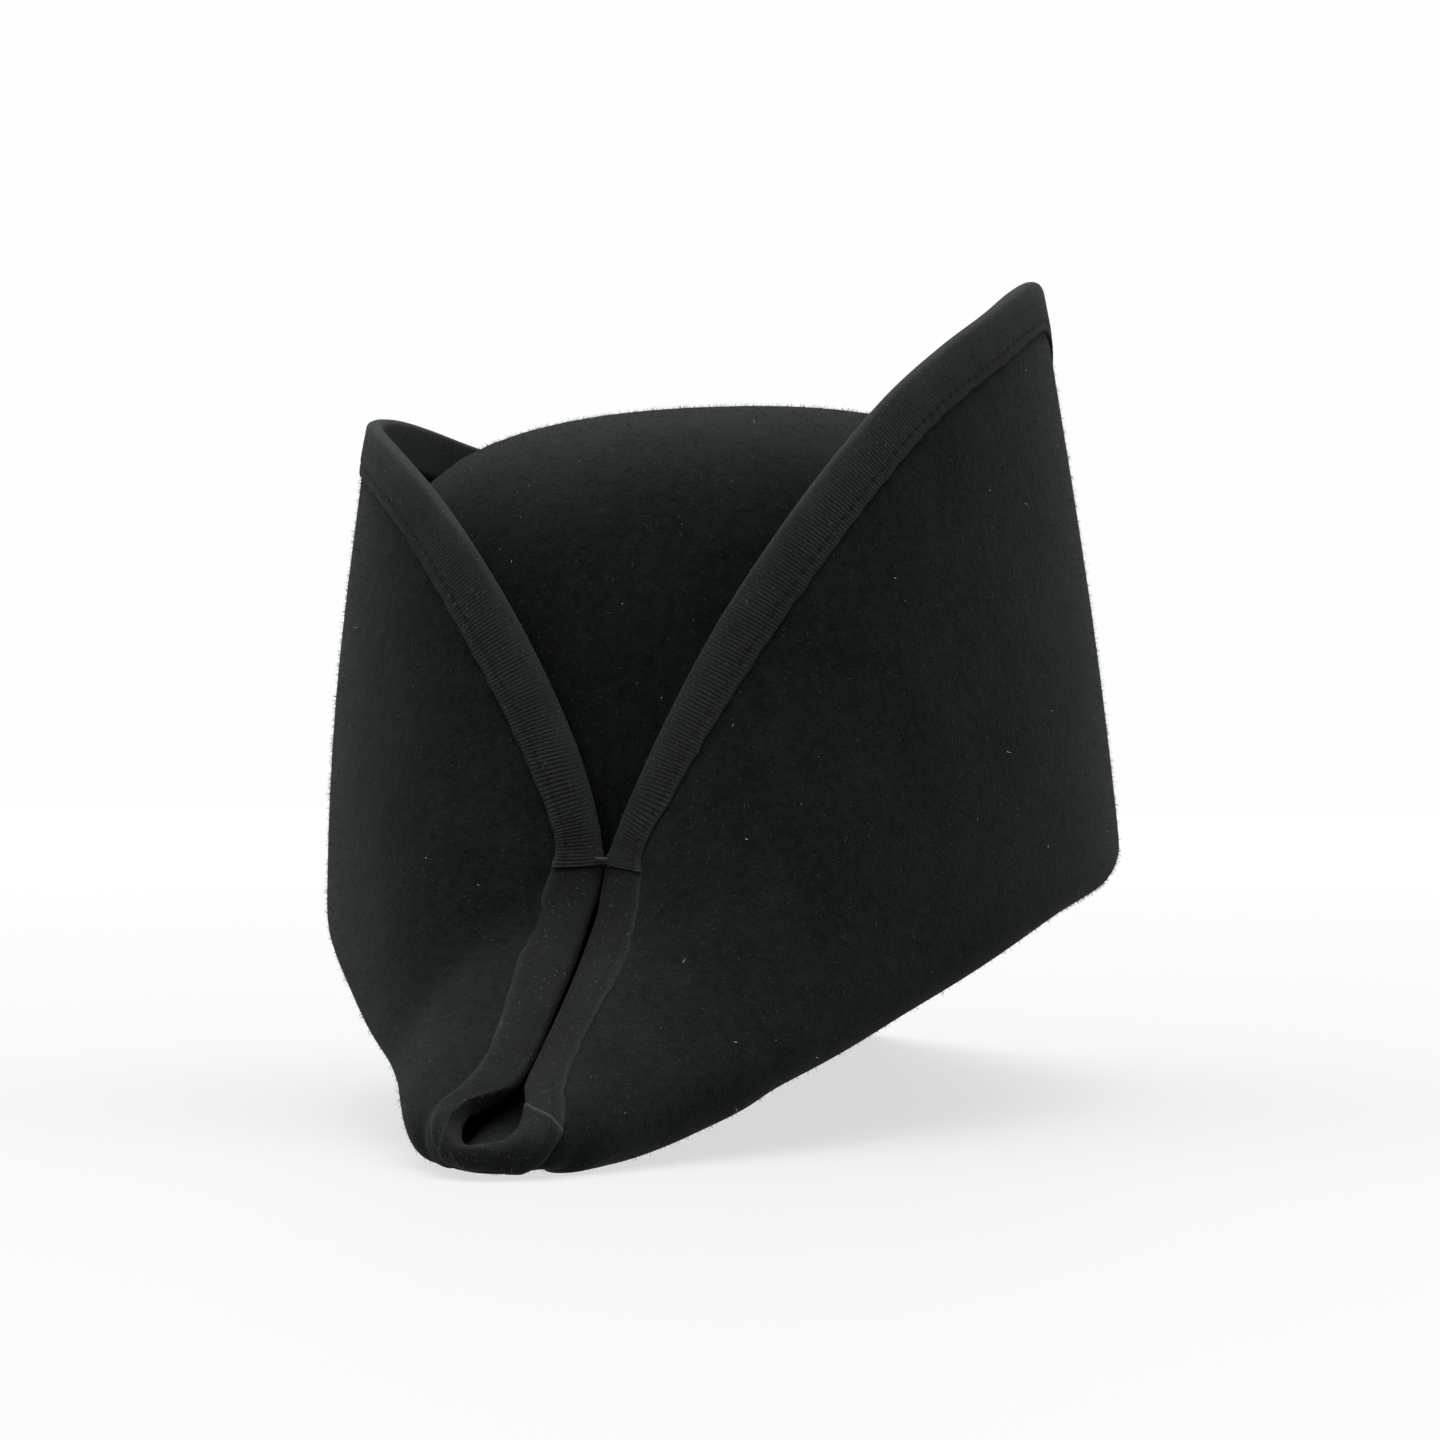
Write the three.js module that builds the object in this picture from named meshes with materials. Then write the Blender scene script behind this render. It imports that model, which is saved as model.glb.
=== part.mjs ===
// A bicorne hat of black felt, bound with ribbon. Millimetres, +Z up.
// The horns point along -Y (front) and +Y (rear), the taller flap stands at +X, the lower one at -X.
// The rear half mirrors the front half, apart from a higher underside and a small swing of its tip.
import * as THREE from 'three';
import { mergeVertices } from 'three/addons/utils/BufferGeometryUtils.js';

// Felt, ribbon and thread
const FELT = 2.5;              // thickness of the felt
const RIBBON = 0.7;            // thickness of one layer of the ribbon
const RIBBON_PRESSED = 0.3;    // and where the hat rests on it
const RIBBON_CREST = 1.3;      // its thickness over the edge, in layers
const RIBBON_LEG = 11;         // how far the ribbon reaches down each side of the edge
const HORN_TUCK = 1.0;         // and how far that of the horns is tucked in over the edge
const GAP = 0.35;              // clearance between neighbouring pieces
const TACK_LONG = 3.2;         // length of a tack of thread
const TACK_RADIUS = 0.6;       // half its thickness
const TACK_OUT = 4;            // how far it lies out from the middle of the felt's edges
const TACK_SIDES = 8;

// Crown: an oval with nearly upright walls and a low domed top that tilts up to the right
const HEAD_LONG = 99.8;        // half length of the head opening, to the middle of the felt
const HEAD_WIDE = 80;          // half width of the head opening
const HEAD_SIDE_UP = 46;       // height of the head opening at the sides
const HEAD_FRONT_UP = 26;      // height of the head opening over the horns
const CROWN_UP = 163.7;        // height of the crown's middle
const CROWN_TILT = 0.04;       // rise of the crown's top per millimetre to the right
const HEAD_BEND = 6;           // how far the bend between crown and brim reaches

// Crown profile from the top to the bend, as shares of the half width and of the height
const CROWN_COLUMNS = ['reach', 'height'];
const CROWN_PROFILE = [
  [0.00, 1.000],
  [0.22, 0.995],
  [0.44, 0.980],
  [0.64, 0.957],
  [0.80, 0.920],
  [0.905, 0.860],
  [0.96, 0.765],
  [0.98, 0.600],
  [0.99, 0.330],
  [0.998, 0.060],
];

// Sections of a flap, from the middle of its side to the horn. The head angle in degrees says where a
// section starts at the head opening. Fold is the outermost point of the fold under the turned-up wall,
// edge is the wall's end. Front is measured towards the horn, out away from the middle and up from the
// floor. Behind, the fold lies higher by the rear lift. Round is half the fold's height, and bulge the
// wall's swell as a share of its length.
const FLAP_COLUMNS = ['head', 'foldFront', 'foldOut', 'foldUp', 'rearLift', 'round',
  'edgeFront', 'edgeOut', 'edgeUp', 'bulge'];
const RIGHT_FLAP = [
  [0,    0.0,   93.9, 54.5,  0,  4.5,     0.0,  76.9, 192.4,  0.010],
  [15,   36.5,  89.8, 50.0,  4,  4.5,    36.0,  72.0, 182.0,  0.012],
  [30,   69.3,  77.8, 39.2,  8,  5.0,    70.0,  57.0, 162.4,  0.015],
  [42,   96.9,  63.0, 28.6, 10,  5.5,    90.0,  39.5, 136.0,  0.018],
  [51,   118.7, 51.3, 20.5, 11,  6.0,   100.0,  22.0, 106.0,  0.03],
  [57,   134.2, 43.2, 16.1, 11,  6.0,   103.8,   8.0,  76.0,  0.05],
  [61,   142.9, 38.5, 13.2, 10.5,  6.0,   105.5,   2.1,  60.0,  0.06],
  [65,   152.6, 32.6, 10.2, 10.5,  6.0,   116.0,   2.1,  47.5,  0.07],
  [72,   168.8, 23.0,  5.7,  8,  6.0,   146.0,   1.6,  28.5,  0.09],
  [78,   180.5, 17.5,  4.2,  3.5,  5.0,   171.0,   1.2,  15.5,  0.11],
  [82,   187.4, 13.4,  3.6,  0,  4.5,   181.5,   3.8,  12.8,  0.05],
  [86,   193.0,  8.6,  3.7,  0,  3.5,   190.2,   4.6,   9.2,  0.01],
  [88,   195.9,  4.0,  3.1,  0,  2.5,   194.8,   2.4,   6.8,  0.00],
];
const LEFT_FLAP = [
  [0,    0.0,   86.1, 44.5,  0,  4.0,     0.0,  78.8, 162.0,  0.030],
  [15,   34.8,  82.6, 43.4,  2,  4.0,    36.0,  74.4, 159.3,  0.028],
  [30,   65.9,  72.2, 37.0,  4,  4.5,    68.0,  60.5, 152.0,  0.02],
  [42,   94.1,  58.6, 28.3,  6,  5.0,    88.0,  43.0, 138.0,  0.02],
  [51,   116.7, 47.4, 21.6,  5,  5.5,    99.5,  24.0, 114.0,  0.03],
  [57,   132.3, 39.2, 17.8,  4,  6.0,   103.8,   8.0,  83.0,  0.05],
  [61,   142.7, 34.4, 14.9,  4,  6.0,   105.5,   2.1,  60.0,  0.06],
  [65,   152.4, 30.5, 12.3,  4,  6.0,   116.0,   2.1,  47.5,  0.07],
  [72,   168.7, 24.7,  8.0,  3,  6.0,   146.0,   2.2,  28.5,  0.09],
  [78,   180.5, 18.8,  5.0,  1,  5.0,   171.0,   3.4,  15.5,  0.11],
  [82,   187.6, 13.8,  4.4,  0,  4.5,   181.5,   8.8,  12.8,  0.06],
  [86,   193.2,  9.4,  3.7,  0,  3.5,   190.6,   8.8,   9.2,  0.01],
  [88,   196.0,  5.2,  3.1,  0,  2.5,   195.2,   6.0,   6.6,  0.00],
];
const KEEL = [90, 196.9, 0.6, 2.8, 0, 2, 196.7, -1.8, 6.3, 0];
const REAR_SWING = 13;         // how far the rear horn's tip stands off to the left
const ROUND_REACH = 1.2;       // how far the fold's rounding runs on along each side, in rounds
const GROUND = 0.65;           // height of the ground that the hat rests on
const REST_UP = 2.42;          // lowest height of the felt's middle over the ribbon
const BARE_REST_UP = GROUND + FELT / 2; // and where the bare felt rests
const REST_SOFT = 0.5;         // how gently it settles there

// The flaps' ribbons end at this row of both tables, where a tack holds the flaps together
const TACK_ROW = 6;
const TACK_SPACE = 0.085;      // how far each ribbon ends from there, in rows

// Mesh density
const STEPS_PER_ROW = 2;
const ZONE_STEPS = { crown: 4, bend: 2, under: 2, fold: 4, wall: 2 };
const BAND_STEPS = 4;          // rows of felt under the ribbon
const STRIDES = 3;             // short strides that each of these rows takes down the felt
const TIP_BLEND = [120, 165];  // from here to here along the edge, the rows turn to follow the sections

const named = (columns, row) => Object.fromEntries(columns.map((column, index) => [column, row[index]]));

// One trip round the hat: right middle, front keel, left middle, rear keel, and back
function sectionsRoundTheHat() {
  const turned = (values, side) => {
    const row = named(FLAP_COLUMNS, values);
    return {
      ...row,
      head: THREE.MathUtils.degToRad(row.head),
      side,
      end: 1,
      fold: new THREE.Vector3(side * row.foldOut, -row.foldFront, row.foldUp),
      edge: new THREE.Vector3(side * row.edgeOut, -row.edgeFront, row.edgeUp),
    };
  };
  const front = [
    ...RIGHT_FLAP.map((row) => turned(row, 1)),
    turned(KEEL, 1),
    ...LEFT_FLAP.map((row) => turned(row, -1)).reverse(),
  ];
  const tip = front[RIGHT_FLAP.length].edge.y;
  const swung = (point, lift) =>
    new THREE.Vector3(point.x - REAR_SWING * (point.y / tip) ** 2, -point.y, point.z + lift);
  const rear = front.slice(1, -1).map((section) => ({
    ...section,
    end: -1,
    fold: swung(section.fold, section.rearLift),
    edge: swung(section.edge, 0),
  })).reverse();
  return [...front, ...rear];
}

const SECTIONS = sectionsRoundTheHat();
const COUNT = SECTIONS.length;

function headPoint(section) {
  const across = Math.cos(section.head);
  const along = Math.sin(section.head);
  const up = THREE.MathUtils.lerp(HEAD_SIDE_UP, HEAD_FRONT_UP, along * along);
  return new THREE.Vector3(section.side * HEAD_WIDE * across, -section.end * HEAD_LONG * along, up);
}

const smoothCurve = (points, closed) => new THREE.CatmullRomCurve3(points, closed, 'centripetal');
const headCurve = smoothCurve(SECTIONS.map(headPoint), true);
const foldCurve = smoothCurve(SECTIONS.map((section) => section.fold), true);
const edgeCurve = smoothCurve(SECTIONS.map((section) => section.edge), true);
const crownCurve = smoothCurve(CROWN_PROFILE.map((values) => {
  const row = named(CROWN_COLUMNS, values);
  return new THREE.Vector3(row.reach, row.height, 0);
}), false);

// A column's value between two sections
function between(column, place) {
  const row = Math.floor(place * COUNT) % COUNT;
  const share = place * COUNT - Math.floor(place * COUNT);
  return THREE.MathUtils.lerp(SECTIONS[row][column], SECTIONS[(row + 1) % COUNT][column], share);
}

const bend = (start, corner, finish, share) =>
  start.clone().lerp(corner, share).lerp(corner.clone().lerp(finish, share), share);

const towards = (from, to, distance) =>
  from.clone().addScaledVector(to.clone().sub(from).normalize(), distance);

function crownPoint(head, share) {
  const profile = crownCurve.getPoint(share);
  const across = head.x * profile.x;
  const top = CROWN_UP + CROWN_TILT * across;
  return new THREE.Vector3(across, head.y * profile.x, THREE.MathUtils.lerp(head.z, top, profile.y));
}

// The bent line of one section. Low and high are the corners of the fold, which is rounded square to its
// own run, and belly is the corner of the wall.
function brimLine(place) {
  const head = headCurve.getPoint(place);
  const fold = foldCurve.getPoint(place);
  const edge = edgeCurve.getPoint(place);
  const along = foldCurve.getTangent(place);
  const square = (from, to) => to.clone().sub(from).projectOnPlane(along);
  const toHead = square(fold, head);
  const toEdge = square(fold, edge);
  const round = Math.min(between('round', place), 0.35 * toEdge.length(), 0.45 * toHead.length());
  const upright = toEdge.normalize().sub(toHead.normalize()).normalize();
  const low = fold.clone().addScaledVector(upright, -round);
  const high = fold.clone().addScaledVector(upright, round);
  const wall = edge.clone().sub(high);
  const wayRound = along.clone().add(edgeCurve.getTangent(place));
  const swell = wall.clone().cross(wayRound).setLength(2 * between('bulge', place) * wall.length());
  const belly = high.clone().lerp(edge, 0.5).add(swell);
  const under = square(low, head);
  const rise = square(high, belly);
  return {
    head, fold, edge, low, high, belly,
    bendEnd: towards(head, low, Math.min(HEAD_BEND, 0.4 * head.distanceTo(low))),
    foldStart: low.clone().add(under.setLength(Math.min(ROUND_REACH * round, 0.45 * under.length()))),
    foldEnd: high.clone().add(rise.setLength(Math.min(ROUND_REACH * round, 0.7 * rise.length()))),
  };
}

// The middle of the felt. Turn runs 0 to 1 round the hat. Zone runs 0 to 5: crown, bend at the head
// opening, underside, fold and wall, each one unit long.
function feltPoint(turn, zone, restUp = REST_UP) {
  const place = ((turn % 1) + 1) % 1;
  if (zone <= 1) return crownPoint(headCurve.getPoint(place), zone);
  const line = brimLine(place);
  let point;
  if (zone <= 2) point = bend(crownPoint(line.head, 1), line.head, line.bendEnd, zone - 1);
  else if (zone <= 3) point = line.bendEnd.clone().lerp(line.foldStart, zone - 2);
  else if (zone <= 3.5) point = bend(line.foldStart, line.low, line.fold, 2 * (zone - 3));
  else if (zone <= 4) point = bend(line.fold, line.high, line.foldEnd, 2 * (zone - 3.5));
  else point = bend(line.foldEnd, line.belly, line.edge, zone - 4);
  point.z = restUp + REST_SOFT * Math.log1p(Math.exp((point.z - restUp) / REST_SOFT));
  return point;
}

// Unit normal of the felt, out of the crown's top and into the space between crown and flap
function feltNormal(turn, zone) {
  const step = 0.002;
  const across = feltPoint(turn + step, zone).sub(feltPoint(turn - step, zone));
  const low = Math.max(zone - step, step);
  const high = Math.min(zone + step, 5);
  const down = feltPoint(turn, high).sub(feltPoint(turn, low));
  return across.cross(down).normalize();
}

const middleOf = (place) => feltPoint(place.turn, place.zone, place.restUp);
const offset = (place, distance) => middleOf(place).addScaledVector(feltNormal(place.turn, place.zone), distance);

// The rim's two corners with its middle between them
const rimLine = (place) => [offset(place, FELT / 2), middleOf(place), offset(place, -FELT / 2)];

// Pairs of neighbouring points down a line
const pairsOf = (points) => points.slice(1).map((point, index) => [points[index], point]);

// Whether the square between two such pairs is shorter across from the next one's first point
const splitsBack = (here, next) => here[0].distanceTo(next[1]) > next[0].distanceTo(here[1]);

function geometryFrom(points, triangles) {
  const geometry = new THREE.BufferGeometry();
  geometry.setAttribute('position', new THREE.Float32BufferAttribute(points.flatMap((p) => [p.x, p.y, p.z]), 3));
  geometry.setIndex(triangles);
  const merged = mergeVertices(geometry, 1e-5);
  merged.computeVertexNormals();
  return merged;
}

// Places from the edge straight down the felt to the ribbon's lower border
function placesSquare(turn) {
  const small = 0.0005;
  const stride = RIBBON_LEG / BAND_STEPS / STRIDES;
  const places = [{ turn, zone: 5 }];
  let here = { turn, zone: 5 };
  const alongEdge = feltPoint(turn + small, 5).sub(feltPoint(turn - small, 5));
  let heading = alongEdge.cross(feltNormal(turn, 5)).normalize();
  for (let step = 1; step <= BAND_STEPS * STRIDES; step += 1) {
    const zone = Math.min(here.zone, 5 - small);
    const perTurn = feltPoint(here.turn + small, zone).sub(feltPoint(here.turn - small, zone));
    const perZone = feltPoint(here.turn, zone + small).sub(feltPoint(here.turn, zone - small));
    const goal = heading.clone().multiplyScalar(2 * small * stride);
    const [tt, tz, zz] = [perTurn.dot(perTurn), perTurn.dot(perZone), perZone.dot(perZone)];
    const [gt, gz] = [goal.dot(perTurn), goal.dot(perZone)];
    const next = {
      turn: here.turn + (gt * zz - gz * tz) / (tt * zz - tz * tz),
      zone: here.zone + (gz * tt - gt * tz) / (tt * zz - tz * tz),
    };
    heading = feltPoint(next.turn, next.zone).sub(feltPoint(here.turn, here.zone)).normalize();
    here = next;
    if (step % STRIDES === 0) places.push(here);
  }
  return places;
}

// The same places measured along a section
function placesAlong(turn) {
  const small = 0.01;
  const places = [{ turn, zone: 5 }];
  let travelled = 0;
  for (let zone = 5; places.length <= BAND_STEPS; zone -= small) {
    const goal = places.length * RIBBON_LEG / BAND_STEPS;
    const stride = feltPoint(turn, zone).distanceTo(feltPoint(turn, zone - small));
    travelled += stride;
    if (travelled >= goal) places.push({ turn, zone: zone - small * (1 - (travelled - goal) / stride) });
  }
  return places;
}

// Under the flaps' ribbons the band runs square to the edge, round a horn's tip along the sections
function bandPlaces(turn) {
  const outward = Math.abs(edgeCurve.getPoint(((turn % 1) + 1) % 1).y);
  const share = THREE.MathUtils.smoothstep(outward, ...TIP_BLEND);
  if (share === 1) return placesAlong(turn);
  if (share === 0) return placesSquare(turn);
  const along = placesAlong(turn);
  return placesSquare(turn).map((place, index) => ({
    turn: THREE.MathUtils.lerp(place.turn, along[index].turn, share),
    zone: THREE.MathUtils.lerp(place.zone, along[index].zone, share),
  }));
}

// Places down one section of the felt: crown, bend, underside, fold and wall as far as the ribbon's
// lower border, then the band under the ribbon. They slide towards the band's own places near it.
function placesDown(turn) {
  const band = bandPlaces(turn).reverse();
  const rows = Object.values(ZONE_STEPS).flatMap((steps, zone) =>
    Array.from({ length: steps }, (_, step) => zone + (step + 1) / steps));
  const above = rows.slice(0, -1).map((zone) => {
    if (zone <= 2) return { turn, zone };
    const share = (zone - 2) / 3;
    return {
      turn: turn + (band[0].turn - turn) * share * share,
      zone: 2 + (band[0].zone - 2) * share,
      restUp: BARE_REST_UP,
    };
  });
  return [...above, ...band];
}

// Squares between two lines of points, each given by where it starts in the list of points
function stitch(triangles, here, next, herePairs, nextPairs, flipped) {
  herePairs.forEach((pair, row) => {
    const [a, b, c, d] = [here + row, here + row + 1, next + row + 1, next + row];
    const halves = splitsBack(pair, nextPairs[row]) ? [[a, b, d], [b, c, d]] : [[a, b, c], [a, c, d]];
    for (const [first, second, third] of halves) {
      triangles.push(...(flipped ? [first, third, second] : [first, second, third]));
    }
  });
}

// The felt: both faces of the shell, closed along the brim's edge
function makeFelt() {
  const turns = COUNT * STEPS_PER_ROW;
  const sections = Array.from({ length: turns }, (_, turn) => placesDown(turn / turns));
  const pairs = sections.map((section) => pairsOf(section.map(middleOf)));
  const rims = sections.map((section) => rimLine(section.at(-1)));
  const rows = sections[0].length;
  const points = [];
  const triangles = [];
  for (const side of [1, -1]) {
    const pole = points.push(feltPoint(0, 0).add(new THREE.Vector3(0, 0, side * FELT / 2))) - 1;
    const first = points.length;
    for (const section of sections) points.push(...section.map((place) => offset(place, side * FELT / 2)));
    for (let turn = 0; turn < turns; turn += 1) {
      const after = (turn + 1) % turns;
      const [here, next] = [first + turn * rows, first + after * rows];
      triangles.push(...(side > 0 ? [pole, next, here] : [pole, here, next]));
      stitch(triangles, here, next, pairs[turn], pairs[after], side > 0);
    }
  }
  const firstRim = points.length;
  for (const rim of rims) points.push(...rim);
  for (let turn = 0; turn < turns; turn += 1) {
    const after = (turn + 1) % turns;
    stitch(triangles, firstRim + 3 * turn, firstRim + 3 * after, pairsOf(rims[turn]), pairsOf(rims[after]), true);
  }
  return geometryFrom(points, triangles);
}

// One section of folded ribbon: a line of points over its outer face and one over its inner face. Each
// line runs from the border inside the hat over the edge to the lower border on the felt's outside. A
// tucked ribbon stops just inside the edge.
function bindingSection(turn, tucked) {
  const places = bandPlaces(turn);
  const tuckEnd = {
    turn: THREE.MathUtils.lerp(places[0].turn, places[1].turn, HORN_TUCK * BAND_STEPS / RIBBON_LEG),
    zone: THREE.MathUtils.lerp(places[0].zone, places[1].zone, HORN_TUCK * BAND_STEPS / RIBBON_LEG),
  };
  const insidePlaces = tucked ? [tuckEnd, places[0]] : places.slice().reverse();
  const rim = middleOf(places[0]);
  const beyond = rim.clone().sub(middleOf(places[1])).normalize();
  const line = (distance, crest, floor) => {
    const lifted = (place, side) =>
      offset(place, side * distance).addScaledVector(beyond, place === places[0] ? GAP : 0);
    const points = [
      ...insidePlaces.map((place) => lifted(place, 1)),
      rim.clone().addScaledVector(beyond, crest),
      ...places.map((place) => lifted(place, -1)),
    ];
    for (const point of points) point.z = Math.max(point.z, floor);
    return points;
  };
  const inner = FELT / 2 + GAP;
  const reversed = places.slice(0, insidePlaces.length).reverse();
  return {
    outer: line(inner + RIBBON, GAP + RIBBON_CREST * RIBBON, GROUND),
    inner: line(inner, GAP, GROUND + RIBBON_PRESSED),
    pairs: [reversed.map(middleOf), rimLine(places[0]), places.map(middleOf)].flatMap(pairsOf),
  };
}

// Ribbon folded over the edge from one section of the felt to another, short of both by the tack's space
function makeBinding(first, last, tucked) {
  const stations = [first + TACK_SPACE];
  for (let row = first + 1 / STEPS_PER_ROW; row < last; row += 1 / STEPS_PER_ROW) stations.push(row);
  stations.push(last - TACK_SPACE);
  const sections = stations.map((row) => bindingSection(row / COUNT, tucked));
  const line = sections[0].outer.length;
  const points = sections.flatMap((section) => [...section.outer, ...section.inner]);
  const triangles = [];
  const quad = (a, b, c, d) => triangles.push(a, b, c, a, c, d);
  for (let piece = 0; piece < sections.length - 1; piece += 1) {
    const here = piece * 2 * line;
    const next = here + 2 * line;
    const [herePairs, nextPairs] = [sections[piece].pairs, sections[piece + 1].pairs];
    stitch(triangles, here, next, herePairs, nextPairs, true);
    stitch(triangles, here + line, next + line, herePairs, nextPairs, false);
    quad(next, here, here + line, next + line);
    quad(here + line - 1, next + line - 1, next + 2 * line - 1, here + 2 * line - 1);
  }
  for (const piece of [0, sections.length - 1]) {
    const here = piece * 2 * line;
    const { outer, inner } = sections[piece];
    stitch(triangles, here, here + line, pairsOf(outer), pairsOf(inner), piece > 0);
  }
  return geometryFrom(points, triangles);
}

// A short bar of thread lying across the slit, close to the crests of the ribbons on both sides
function makeTack(rightRow, leftRow) {
  const crests = [rightRow, leftRow].map((row) => edgeCurve.getPoint((row % COUNT) / COUNT));
  const centre = crests[0].clone().lerp(crests[1], 0.5);
  const outward = Math.sign(centre.y);
  const geometry = new THREE.CapsuleGeometry(TACK_RADIUS, TACK_LONG - 2 * TACK_RADIUS, 3, TACK_SIDES);
  geometry.rotateZ(Math.PI / 2);
  geometry.translate(centre.x, centre.y + outward * TACK_OUT, centre.z);
  return geometry;
}

const feltMaterial = new THREE.MeshStandardMaterial({ color: 0x1c1e1e, roughness: 0.95, metalness: 0 });
const ribbonMaterial = new THREE.MeshStandardMaterial({ color: 0x24262a, roughness: 0.75, metalness: 0 });
const threadMaterial = new THREE.MeshStandardMaterial({ color: 0x1e2022, roughness: 0.8, metalness: 0 });

const QUARTER = RIGHT_FLAP.length;
const [rightFront, leftFront, leftRear, rightRear] =
  [TACK_ROW, 2 * QUARTER - TACK_ROW, 2 * QUARTER + TACK_ROW, 4 * QUARTER - TACK_ROW];

const hat = new THREE.Group();
const add = (name, geometry, material) => {
  const mesh = new THREE.Mesh(geometry, material.clone());
  mesh.name = name;
  hat.add(mesh);
};
add('felt_body', makeFelt(), feltMaterial);
add('right_flap_binding', makeBinding(rightRear - COUNT, rightFront, false), ribbonMaterial);
add('front_horn_binding', makeBinding(rightFront, leftFront, true), ribbonMaterial);
add('left_flap_binding', makeBinding(leftFront, leftRear, false), ribbonMaterial);
add('rear_horn_binding', makeBinding(leftRear, rightRear, true), ribbonMaterial);
add('front_tack', makeTack(rightFront, leftFront), threadMaterial);
add('rear_tack', makeTack(rightRear, leftRear), threadMaterial);

// The origin lies under the middle of the whole hat
const middle = new THREE.Box3().setFromObject(hat).getCenter(new THREE.Vector3());
for (const mesh of hat.children) mesh.geometry.translate(-middle.x, -middle.y, -GROUND);
export default hat;
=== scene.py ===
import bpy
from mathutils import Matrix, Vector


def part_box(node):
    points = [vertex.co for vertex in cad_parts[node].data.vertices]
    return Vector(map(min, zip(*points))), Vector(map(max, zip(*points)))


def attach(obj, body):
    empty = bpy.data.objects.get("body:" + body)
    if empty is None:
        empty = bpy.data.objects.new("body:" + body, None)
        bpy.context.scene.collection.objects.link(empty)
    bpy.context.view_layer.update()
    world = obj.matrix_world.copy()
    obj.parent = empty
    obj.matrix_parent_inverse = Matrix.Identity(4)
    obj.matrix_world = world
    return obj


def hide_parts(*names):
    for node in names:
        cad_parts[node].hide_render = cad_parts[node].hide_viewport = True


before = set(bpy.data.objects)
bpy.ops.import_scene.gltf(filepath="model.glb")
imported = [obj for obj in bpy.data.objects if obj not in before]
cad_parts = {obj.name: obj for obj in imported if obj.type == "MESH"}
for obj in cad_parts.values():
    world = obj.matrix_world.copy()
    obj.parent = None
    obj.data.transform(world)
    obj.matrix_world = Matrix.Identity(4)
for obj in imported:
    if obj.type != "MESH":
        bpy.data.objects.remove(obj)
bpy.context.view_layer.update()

import math

import bmesh
import bpy
import numpy as np
from mathutils import Vector

# The view: the hat stands on the tips of its horns. It is seen from in front and a little towards
# the taller flap, level with the middle of its crown.
CROWN_AXIS_X = -0.00354
VIEW_TURN = math.radians(12.9)
VIEW_AWAY = 1.0
VIEW_ASIDE = 0.001
VIEW_HEIGHT = 0.0894
LENS = 103.75

back_x, back_y = math.sin(VIEW_TURN), -math.cos(VIEW_TURN)
view = bpy.data.cameras.new("view")
view.lens = LENS
view.sensor_width = 36.0
camera = bpy.data.objects.new("view", view)
camera.location = (
    CROWN_AXIS_X + VIEW_AWAY * back_x - VIEW_ASIDE * back_y,
    VIEW_AWAY * back_y + VIEW_ASIDE * back_x,
    VIEW_HEIGHT,
)
camera.rotation_euler = (math.radians(90), 0, VIEW_TURN)
bpy.context.collection.objects.link(camera)
bpy.context.scene.camera = camera

# The felt: crown and brim are blocked from one piece of wool felt, 2.5 mm thick. The brim is turned
# up in two flaps that close to a horn in front and behind. Its faces are smoothed from the frame's.
FELT_THICK = 0.0025
FELT_LEVELS = 2
BAND_ROWS = 5
JOIN_WITHIN = 1e-6
FIND_WITHIN = 1e-5
PATCH_SCALE = 45.0
FELTING_SCALE = 420.0
FUZZ_SCALE = 1900.0
FELT_SPECK_SCALE = 1500.0
SPECK_EDGE = 0.71
CONTRAST = 2.2
FELT_DARK = (0.0, 0.0, 0.0, 1)
FELT_LIGHT = (0.0065, 0.0092, 0.0083, 1)
FELT_SPECK = (0.03, 0.035, 0.033, 1)


class Wire:
    """A socket's value, to be worked with in plain arithmetic."""

    def __init__(self, cloth, socket):
        self.cloth, self.socket = cloth, socket

    def maths(self, operation, *others):
        return self.cloth.node("Math", {"operation": operation}, dict(enumerate((self, *others))))

    def __add__(self, other):
        return self.maths("ADD", other)

    def __sub__(self, other):
        return self.maths("SUBTRACT", other)

    def __rsub__(self, other):
        return (self * -1.0).maths("ADD", other)

    def __mul__(self, other):
        return self.maths("MULTIPLY", other)

    def __pow__(self, other):
        return self.maths("POWER", other)

    def over(self, edge):
        return self.maths("GREATER_THAN", edge)

    __radd__ = __add__
    __rmul__ = __mul__


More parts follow.
